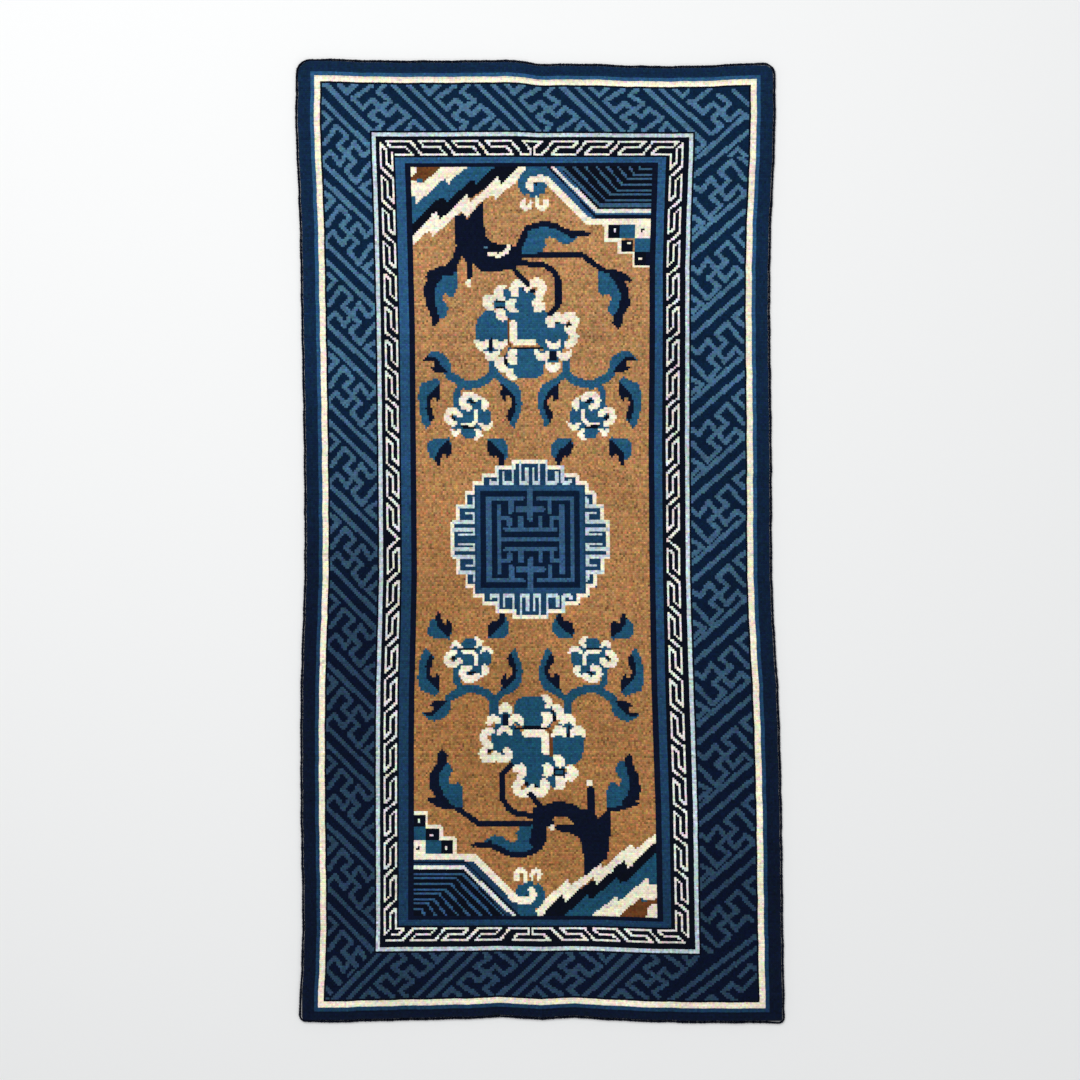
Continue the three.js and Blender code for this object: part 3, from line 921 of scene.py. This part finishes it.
# %% Make a mesh that carries its colours
def mesh_object(name, vertices, faces, colours, tones, uvs):
    mesh = bpy.data.meshes.new(name)
    mesh.from_pydata(vertices.tolist(), [], faces)
    mesh.update()
    loops = np.array([polygon.loop_total for polygon in mesh.polygons])
    with_alpha = np.concatenate([colours, np.ones((len(colours), 1))], axis=1)
    by_loop = np.repeat(with_alpha, loops, axis=0).astype(np.float32)
    colour_layer = mesh.attributes.new("yarn_colour", "FLOAT_COLOR", "CORNER")
    colour_layer.data.foreach_set("color", by_loop.ravel())
    tone_layer = mesh.attributes.new("tone", "FLOAT", "CORNER")
    tone_layer.data.foreach_set("value", np.repeat(tones, loops).astype(np.float32))
    if uvs is not None:
        uv_layer = mesh.uv_layers.new(name="OFBake")
        uv_layer.uv.foreach_set("vector", uvs.astype(np.float32).ravel())
    obj = bpy.data.objects.new(name, mesh)
    bpy.context.scene.collection.objects.link(obj)
    return obj


# %% [markdown]
# A flat map says where each face lies in a picture, so that the colours can be baked into one later.
# A ready-made unwrap would scatter this many small faces, so the map is laid out by rule: the strip is
# cut across and its knots go side by side in columns, and the walls and the underside go into a narrow
# band below them.

# %% Lay the faces on a flat map
MAP_MARGIN = 0.01
WALL_ROWS = 4
WALL_ROW_LOW = 0.06
WALL_ROW_STEP = 0.014
WALL_ROW_HEIGHT = 0.01
UNDERSIDE_LOW, UNDERSIDE_HIGH = 0.01, 0.05
KNOTS_LOW = 0.13


def map_knots(height, width, folds, corners):
    """Each knot's corners on the flat map: the strip is cut across and laid in columns."""
    j, i = np.mgrid[0:height, 0:width]
    per_fold = math.ceil(height / folds)
    fold = j // per_fold
    places = []
    for dj, di in corners:
        u = (fold + MAP_MARGIN + (1 - 2 * MAP_MARGIN) * (i + di) / width) / folds
        along = (j + dj - fold * per_fold) / per_fold
        places.append(np.stack([u, 1 - MAP_MARGIN - (1 - MAP_MARGIN - KNOTS_LOW) * along], axis=-1))
    return np.stack(places, axis=2).reshape(-1, 2)


def map_walls(count):
    """The walls in four short rows under the knots, wall beside wall."""
    per_row = math.ceil(count / WALL_ROWS)
    k = np.arange(count)
    step = (1 - 2 * MAP_MARGIN) / per_row
    u = MAP_MARGIN + (k % per_row) * step
    v = WALL_ROW_LOW + (k // per_row) * WALL_ROW_STEP
    top = v + WALL_ROW_HEIGHT
    return np.stack([u, top, u + step, top, u + step, v, u, v], axis=-1).reshape(-1, 2)


def map_underside(walk, height, width):
    u = MAP_MARGIN + (1 - 2 * MAP_MARGIN) * walk[:, 0] / height
    v = UNDERSIDE_LOW + (UNDERSIDE_HIGH - UNDERSIDE_LOW) * walk[:, 1] / width
    return np.stack([u, v], axis=-1)


# %% [markdown]
# The pile is grown in four strips side by side, to keep every mesh light enough to work with. A strip
# is the crossings of its grid, the tips above them, and the same edge again at the foot of its walls.

# %% Grow the pile from the chart
UNDER_PILE = 2.6 * MM
STRIP_NAMES = ("pile_left", "pile_left_middle", "pile_right_middle", "pile_right")
PILE_FOLDS = 3
NEAR_LEFT, NEAR_RIGHT, FAR_LEFT, FAR_RIGHT, TIP = (1, 0), (1, 1), (0, 0), (0, 1), (0.5, 0.5)
TUFT_CORNERS = (
    NEAR_LEFT, NEAR_RIGHT, TIP, NEAR_RIGHT, FAR_RIGHT, TIP,
    FAR_RIGHT, FAR_LEFT, TIP, FAR_LEFT, NEAR_LEFT, TIP,
)


def boundary_walk(height, width):
    """The crossings round a block of knots, clockwise from above."""
    far = [(0, i) for i in range(width)]
    right = [(j, width) for j in range(height)]
    near = [(height, i) for i in range(width, 0, -1)]
    left = [(j, 0) for j in range(height, 0, -1)]
    return np.array(far + right + near + left)


def grow_strip(name, first, last):
    xs, ys, zs = (values[:, first:last + 1] for values in (x, y, crossing_z))
    height, width = xs.shape[0] - 1, xs.shape[1] - 1
    number = np.arange(xs.size).reshape(xs.shape)
    tips = xs.size + np.arange(height * width).reshape(height, width)
    block = (slice(None), slice(first, last))
    low = np.stack([xs, ys, zs], axis=-1).reshape(-1, 3)
    high = np.stack([tip_x[block], tip_y[block], tip_z[block]], axis=-1).reshape(-1, 3)
    walk = boundary_walk(height, width)
    around = number[walk[:, 0], walk[:, 1]]
    under = low[around] * (1, 1, 0) + (0, 0, UNDER_PILE)
    below = len(low) + len(high) + np.arange(len(around))
    a, b, c, d = number[:-1, :-1], number[:-1, 1:], number[1:, 1:], number[1:, :-1]
    sides = ((d, c, tips), (c, b, tips), (b, a, tips), (a, d, tips))
    tufts = np.stack([np.stack(side, axis=-1) for side in sides], axis=2)
    walls = np.stack([around, np.roll(around, -1), np.roll(below, -1), below], axis=-1)
    faces = tufts.reshape(-1, 3).tolist() + walls.tolist() + [below.tolist()]
    beside = np.minimum(walk, (height - 1, width - 1))
    wall_colours = knot_colours[block][beside[:, 0], beside[:, 1]]
    tuft_colours = np.repeat(knot_colours[block].reshape(-1, 3), len(sides), axis=0)
    colours = np.concatenate([tuft_colours, wall_colours, far_colours[:1]])
    knot_map = map_knots(height, width, PILE_FOLDS, TUFT_CORNERS)
    uvs = np.concatenate([knot_map, map_walls(len(walk)), map_underside(walk, height, width)])
    tones = np.concatenate([np.repeat(knot_tones[block].ravel(), len(sides)), np.ones(len(walk) + 1)])
    vertices = np.concatenate([low, high, under])
    obj = mesh_object(name, vertices, faces, colours, tones, uvs)
    print(name, "has", width, "by", height, "knots and", len(faces), "faces")
    return obj


cuts = np.linspace(0, cells.shape[1], len(STRIP_NAMES) + 1).round().astype(int)
strips = [grow_strip(*strip) for strip in zip(STRIP_NAMES, cuts[:-1], cuts[1:])]

# %% [markdown]
# ## The ground and the back
#
# Under the pile lies the ground, the plain cloth of cotton warps and wefts that holds the knots. It
# shows nowhere, but it is the sheet that the whole rug hangs on, so it is made as a thin closed slab to
# the rug's outline. Turned over, a knotted rug shows its pattern again, because each knot's yarn passes
# behind the warps. The back is the same chart on small flat faces that look down at the floor.

# %% Make the ground
GROUND_LOW, GROUND_HIGH = 0.8 * MM, UNDER_PILE
GROUND_INSET = 6.5 * MM


def make_ground():
    ring = ring_at(WIDEST_RING_HEIGHT)[:, :2]
    ring = ring - np.sign(ring) * GROUND_INSET
    count = len(ring)
    low = np.column_stack([ring, np.full(count, GROUND_LOW)])
    high = np.column_stack([ring, np.full(count, GROUND_HIGH)])
    around = np.arange(count)
    following = np.roll(around, -1)
    walls = np.stack([around, following, following + count, around + count], axis=-1).tolist()
    faces = walls + [around[::-1].tolist(), (around + count).tolist()]
    colours = np.repeat([linear_colour(YARNS["cream"])], len(faces), axis=0)
    return mesh_object("ground", np.concatenate([low, high]), faces, colours, np.ones(len(faces)), None)


ground = make_ground()
print("the ground has", len(ground.data.polygons), "faces")

# %% Make the back
BACK_DIMPLE = 0.25 * MM
BACK_FOLDS = 2
BACK_CORNERS = (FAR_LEFT, FAR_RIGHT, NEAR_RIGHT, NEAR_LEFT)


def make_back(name, first, last):
    xs, ys = (values[:, first:last + 1] for values in (x, y))
    height, width = xs.shape[0] - 1, xs.shape[1] - 1
    number = np.arange(xs.size).reshape(xs.shape)
    zs = rng.uniform(0, BACK_DIMPLE, xs.shape)
    low = np.stack([xs, ys, zs], axis=-1).reshape(-1, 3)
    walk = boundary_walk(height, width)
    around = number[walk[:, 0], walk[:, 1]]
    above = len(low) + np.arange(len(around))
    lid = low[around] * (1, 1, 0) + (0, 0, GROUND_LOW)
    a, b, c, d = number[:-1, :-1], number[:-1, 1:], number[1:, 1:], number[1:, :-1]
    knots = np.stack([a, b, c, d], axis=-1).reshape(-1, 4)
    walls = np.stack([above, np.roll(above, -1), np.roll(around, -1), around], axis=-1)
    faces = knots.tolist() + walls.tolist() + [above[::-1].tolist()]
    block = (slice(None), slice(first, last))
    plain = np.repeat(far_colours[:1], len(walls) + 1, axis=0)
    colours = np.concatenate([knot_colours[block].reshape(-1, 3), plain])
    tones = np.concatenate([knot_tones[block].ravel(), np.ones(len(walls) + 1)])
    knot_map = map_knots(height, width, BACK_FOLDS, BACK_CORNERS)
    uvs = np.concatenate([knot_map, map_walls(len(walk)), map_underside(walk[::-1], height, width)])
    print(name, "has", len(faces), "faces")
    return mesh_object(name, np.concatenate([low, lid]), faces, colours, tones, uvs)


middle_column = int(cuts[len(cuts) // 2])
backs = [
    make_back("back_left", 0, middle_column),
    make_back("back_right", middle_column, cells.shape[1]),
]

# %% [markdown]
# ## Sewing over the rim
#
# The outermost warps are bound with yarn, wrapped over and over the edge. It makes a low,
# ribbed roll all round. Its near-black colour is partly the binding's own dark yarn and partly painted
# shade, for the dark line of shade round the rim. One wrap is a squashed ball, and Geometry Nodes sets
# it along a closed line that follows the rim, turns each to the line, and slants and swells it a little.
# Changing the pitch or the size then needs one number. The result is written into a plain mesh at the
# end.

# %% The sizes of a stitch
STITCH_SIZES = {
    "Pitch": 3.0 * MM,
    "Length": 4.6 * MM,
    "Width": 5.6 * MM,
    "Height": 5.9 * MM,
    "Slant": math.radians(18),
    "Unevenness": 0.26,
}
STITCH_SEED = 7
STITCH_SEGMENTS, STITCH_RINGS = 8, 4
BALL_RADIUS = 0.5


def node_maker(tree):
    """A short way to add a node to a tree and set it up in one line."""
    def node(kind, **settings):
        made = tree.nodes.new(kind)
        for setting, value in settings.items():
            setattr(made, setting, value)
        return made
    return node


# %% [markdown]
# The tree has three small parts, and each is a function here: the wrap itself, the turn that lays it
# across the rim, and the swell that makes every wrap a little different from the last.

# %% The wrap, its turn and its swell
def squashed_ball(node, link, given):
    ball = node("GeometryNodeMeshUVSphere")
    ball.inputs["Segments"].default_value = STITCH_SEGMENTS
    ball.inputs["Rings"].default_value = STITCH_RINGS
    ball.inputs["Radius"].default_value = BALL_RADIUS
    size = node("ShaderNodeCombineXYZ")
    squash = node("GeometryNodeTransform")
    for axis, name in zip("XYZ", ("Length", "Width", "Height")):
        link(given.outputs[name], size.inputs[axis])
    link(ball.outputs["Mesh"], squash.inputs["Geometry"])
    link(size.outputs["Vector"], squash.inputs["Scale"])
    return squash.outputs["Geometry"]


def turn_to_the_line(node, link, given):
    tangent = node("GeometryNodeInputTangent")
    along = node("FunctionNodeAlignRotationToVector", axis="X", pivot_axis="Z")
    turn = node("FunctionNodeRotateRotation", rotation_space="LOCAL")
    slant = node("ShaderNodeCombineXYZ")
    link(tangent.outputs["Tangent"], along.inputs["Vector"])
    link(given.outputs["Slant"], slant.inputs["Z"])
    link(along.outputs["Rotation"], turn.inputs["Rotation"])
    link(slant.outputs["Vector"], turn.inputs["Rotate By"])
    return turn.outputs["Rotation"]


def uneven_swell(node, link, given):
    least = node("ShaderNodeMath", operation="SUBTRACT")
    least.inputs[0].default_value = 1.0
    link(given.outputs["Unevenness"], least.inputs[1])
    swell = node("FunctionNodeRandomValue", data_type="FLOAT")
    swell.inputs["Seed"].default_value = STITCH_SEED
    link(least.outputs[0], swell.inputs[2])
    swell.inputs[3].default_value = 1.0
    return swell.outputs[1]


# %% Build the stitching as a node tree
def stitching_tree(material):
    tree = bpy.data.node_groups.new("overcast stitches", "GeometryNodeTree")
    tree.interface.new_socket("Geometry", in_out="INPUT", socket_type="NodeSocketGeometry")
    for name in STITCH_SIZES:
        tree.interface.new_socket(name, in_out="INPUT", socket_type="NodeSocketFloat")
    tree.interface.new_socket("Geometry", in_out="OUTPUT", socket_type="NodeSocketGeometry")
    node = node_maker(tree)
    link = tree.links.new

    given = node("NodeGroupInput")
    to_curve = node("GeometryNodeMeshToCurve")
    resample = node("GeometryNodeResampleCurve", mode="LENGTH")
    link(given.outputs["Geometry"], to_curve.inputs["Mesh"])
    link(to_curve.outputs["Curve"], resample.inputs["Curve"])
    link(given.outputs["Pitch"], resample.inputs["Length"])

    instances = node("GeometryNodeInstanceOnPoints")
    link(resample.outputs["Curve"], instances.inputs["Points"])
    link(squashed_ball(node, link, given), instances.inputs["Instance"])
    link(turn_to_the_line(node, link, given), instances.inputs["Rotation"])
    link(uneven_swell(node, link, given), instances.inputs["Scale"])

    realize = node("GeometryNodeRealizeInstances")
    smooth = node("GeometryNodeSetShadeSmooth")
    paint = node("GeometryNodeSetMaterial")
    paint.inputs["Material"].default_value = material
    out = node("NodeGroupOutput")
    link(instances.outputs["Instances"], realize.inputs["Geometry"])
    link(realize.outputs["Geometry"], smooth.inputs["Geometry"])
    link(smooth.outputs["Geometry"], paint.inputs["Geometry"])
    link(paint.outputs["Geometry"], out.inputs["Geometry"])
    return tree


# %% [markdown]
# ## Wool as a material
#
# Wool is matt, but its fibres catch a soft light at a low angle, so the sheen is raised a little and the
# roughness is high. The colour and the tone come from the knots. Fine noise stands for the cut
# fibres within a knot, and broad noise stands for the years: places where sun and feet have paled it.
# One function makes all the wools, because they differ only in a few numbers.

# %% Noise, tones and how they multiply
SHEEN, SHEEN_ROUGHNESS = 0.03, 0.6
SPECULAR = 0.05
FIBRES_PER_METRE, FIBRE_DETAIL = 1500.0, 3.0
WEAR_PER_METRE, WEAR_DETAIL = 5.0, 4.0
ALL_NOISE, COMMON_NOISE = (0.0, 1.0), (0.3, 0.7)
FIBRE_TONES = (0.75, 1.25)
FIBRE_RELIEF = 0.4 * MM


def noise(node, link, place, per_metre, detail):
    made = node("ShaderNodeTexNoise")
    made.inputs["Scale"].default_value = per_metre
    made.inputs["Detail"].default_value = detail
    link(place, made.inputs["Vector"])
    return made.outputs["Fac"]


def as_tone(node, link, value, found, wanted):
    """Stretch noise from the range it is found in to the range of tones that is wanted."""
    tone = node("ShaderNodeMapRange")
    for name, number in zip(("From Min", "From Max", "To Min", "To Max"), found + wanted):
        tone.inputs[name].default_value = number
    link(value, tone.inputs["Value"])
    return tone.outputs["Result"]


def product(node, link, first, second):
    both = node("ShaderNodeMath", operation="MULTIPLY")
    link(first, both.inputs[0])
    link(second, both.inputs[1])
    return both.outputs[0]


# %% Make the wools
def wool(name, plain_colour=None, fibre_bump=0.35, wear=0.12, roughness=0.95):
    material = bpy.data.materials.new(name)
    material.use_nodes = True
    tree = material.node_tree
    node = node_maker(tree)
    link = tree.links.new
    shader = tree.nodes["Principled BSDF"]
    shader.inputs["Sheen Weight"].default_value = SHEEN
    shader.inputs["Sheen Roughness"].default_value = SHEEN_ROUGHNESS
    shader.inputs["Specular IOR Level"].default_value = SPECULAR
    shader.inputs["Roughness"].default_value = roughness

    place = node("ShaderNodeTexCoord").outputs["Object"]
    fibres = noise(node, link, place, FIBRES_PER_METRE, FIBRE_DETAIL)
    worn = noise(node, link, place, WEAR_PER_METRE, WEAR_DETAIL)
    fibre_tone = as_tone(node, link, fibres, ALL_NOISE, FIBRE_TONES)
    worn_tone = as_tone(node, link, worn, COMMON_NOISE, (1.0 - wear, 1.0 + wear))
    tone = product(node, link, fibre_tone, worn_tone)

    coloured = node("ShaderNodeVectorMath", operation="SCALE")
    if plain_colour is None:
        yarn = node("ShaderNodeAttribute", attribute_name="yarn_colour")
        knot_tone = node("ShaderNodeAttribute", attribute_name="tone")
        link(yarn.outputs["Color"], coloured.inputs["Vector"])
        tone = product(node, link, tone, knot_tone.outputs["Fac"])
    else:
        coloured.inputs["Vector"].default_value = linear_colour(plain_colour)
    link(tone, coloured.inputs["Scale"])
    link(coloured.outputs["Vector"], shader.inputs["Base Color"])

    bump = node("ShaderNodeBump")
    bump.inputs["Strength"].default_value = fibre_bump
    bump.inputs["Distance"].default_value = FIBRE_RELIEF
    link(fibres, bump.inputs["Height"])
    link(bump.outputs["Normal"], shader.inputs["Normal"])
    return material


pile_wool = wool("pile wool")
back_wool = wool("back of the knots", fibre_bump=0.5, wear=0.05)
ground_cotton = wool("ground cotton", plain_colour="d8ccb0")
# The rim's wool is near-black: partly the binding's own dark yarn, partly painted shade for the dark line
# round the rim.
rim_wool_and_painted_shade = wool("rim wool and painted shade", plain_colour="080d1e", fibre_bump=0.6, wear=0.25)
for obj in strips:
    obj.data.materials.append(pile_wool)
for obj in backs:
    obj.data.materials.append(back_wool)
ground.data.materials.append(ground_cotton)
print("materials:", [material.name for material in bpy.data.materials])

# %% [markdown]
# The stitching needs a line to follow. The frame's ring at the top of the rim's roll is that line, set
# at half the roll's height, so that every wrap reaches from the floor to the top of the roll.

# %% Sew the rim
rim_ring = ring_at(RIM_RING_HEIGHT)
rim_ring[:, 2] = STITCH_SIZES["Height"] / 2
rim_mesh = bpy.data.meshes.new("rim line")
rim_edges = [(i, (i + 1) % len(rim_ring)) for i in range(len(rim_ring))]
rim_mesh.from_pydata(rim_ring.tolist(), rim_edges, [])
rim_line = bpy.data.objects.new("rim line", rim_mesh)
bpy.context.scene.collection.objects.link(rim_line)
tree = stitching_tree(rim_wool_and_painted_shade)
sewing = rim_line.modifiers.new("sewing", "NODES")
sewing.node_group = tree
for item in tree.interface.items_tree:
    if item.in_out == "INPUT" and item.name in STITCH_SIZES:
        sewing[item.identifier] = STITCH_SIZES[item.name]
bpy.context.view_layer.update()
sewn = bpy.data.meshes.new_from_object(rim_line.evaluated_get(bpy.context.evaluated_depsgraph_get()))
sewn.name = "rim_stitches"
bpy.data.objects.remove(rim_line)
stitches = bpy.data.objects.new("rim_stitches", sewn)
bpy.context.scene.collection.objects.link(stitches)
print("stitches made with", len(sewn.polygons), "faces")

# %% [markdown]
# ## Joining the pieces to the frame
#
# The rug is one rigid body, so every piece rides on the root. All of them together stand for
# the one cloth of the frame: the ground, the pile, the back and the stitches. The frame's own rug
# is hidden.

# %% Join the pieces to the frame
cloth = [ground] + strips + backs + [stitches]
for obj in cloth:
    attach(obj, "root")
    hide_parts("rug")
print(len(cloth), "pieces ride on the root")

# %% [markdown]
# ## Floor, light and camera
#
# The rug is seen from straight above on a pale floor. One large soft light high on the far side shows
# the nap, which leans towards the near end, and a pale sky fills the rest. The camera stands far off
# with a long lens, so that the edges stay as straight as they are.

# %% Set the floor
FLOOR_SIZE = 12.0
FLOOR_COLOUR = (0.9, 0.9, 0.89, 1)
FLOOR_ROUGHNESS = 0.9
bpy.ops.mesh.primitive_plane_add(size=FLOOR_SIZE, location=(0, 0, 0))
floor = bpy.context.object
floor.name = "floor"
floor_paint = bpy.data.materials.new("floor paint")
floor_paint.use_nodes = True
floor_shader = floor_paint.node_tree.nodes["Principled BSDF"]
floor_shader.inputs["Base Color"].default_value = FLOOR_COLOUR
floor_shader.inputs["Roughness"].default_value = FLOOR_ROUGHNESS
floor.data.materials.append(floor_paint)
print("floor set,", FLOOR_SIZE, "m square")

# %% Set the light
LIGHTS = [
    # name, place, size in metres, power in watts
    ("main light", (-1.2, 2.2, 4.2), 3.0, 142.0),
    ("fill light", (2.6, -2.4, 3.6), 3.5, 30.0),
]
SKY_COLOUR = (0.95, 0.97, 1.0, 1)
SKY_STRENGTH = 0.47


def area_light(name, place, size, power):
    lamp = bpy.data.lights.new(name, "AREA")
    lamp.shape = "SQUARE"
    lamp.size = size
    lamp.energy = power
    obj = bpy.data.objects.new(name, lamp)
    obj.location = place
    towards = -obj.location
    obj.rotation_euler = towards.to_track_quat("-Z", "Y").to_euler()
    bpy.context.scene.collection.objects.link(obj)


for light in LIGHTS:
    area_light(*light)
world = bpy.data.worlds.new("studio")
bpy.context.scene.world = world
world.use_nodes = True
sky = world.node_tree.nodes["Background"]
sky.inputs["Color"].default_value = SKY_COLOUR
sky.inputs["Strength"].default_value = SKY_STRENGTH
print(len(LIGHTS), "soft lights and a pale sky")

# %% Set the camera
LENS_MM = 85.0
SENSOR_MM = 36.0
VIEW_WIDTH = 2.0466
VIEW_CENTRE = (0.0, 0.0024)
camera_data = bpy.data.cameras.new("camera")
camera_data.lens = LENS_MM
camera_data.sensor_width = SENSOR_MM
camera = bpy.data.objects.new("camera", camera_data)
camera.location = (*VIEW_CENTRE, PILE_HEIGHT + VIEW_WIDTH * LENS_MM / SENSOR_MM)
bpy.context.scene.collection.objects.link(camera)
bpy.context.scene.camera = camera
bpy.context.scene.view_settings.view_transform = "Standard"
print("the camera stands", round(camera.location.z, 2), "m above the floor")
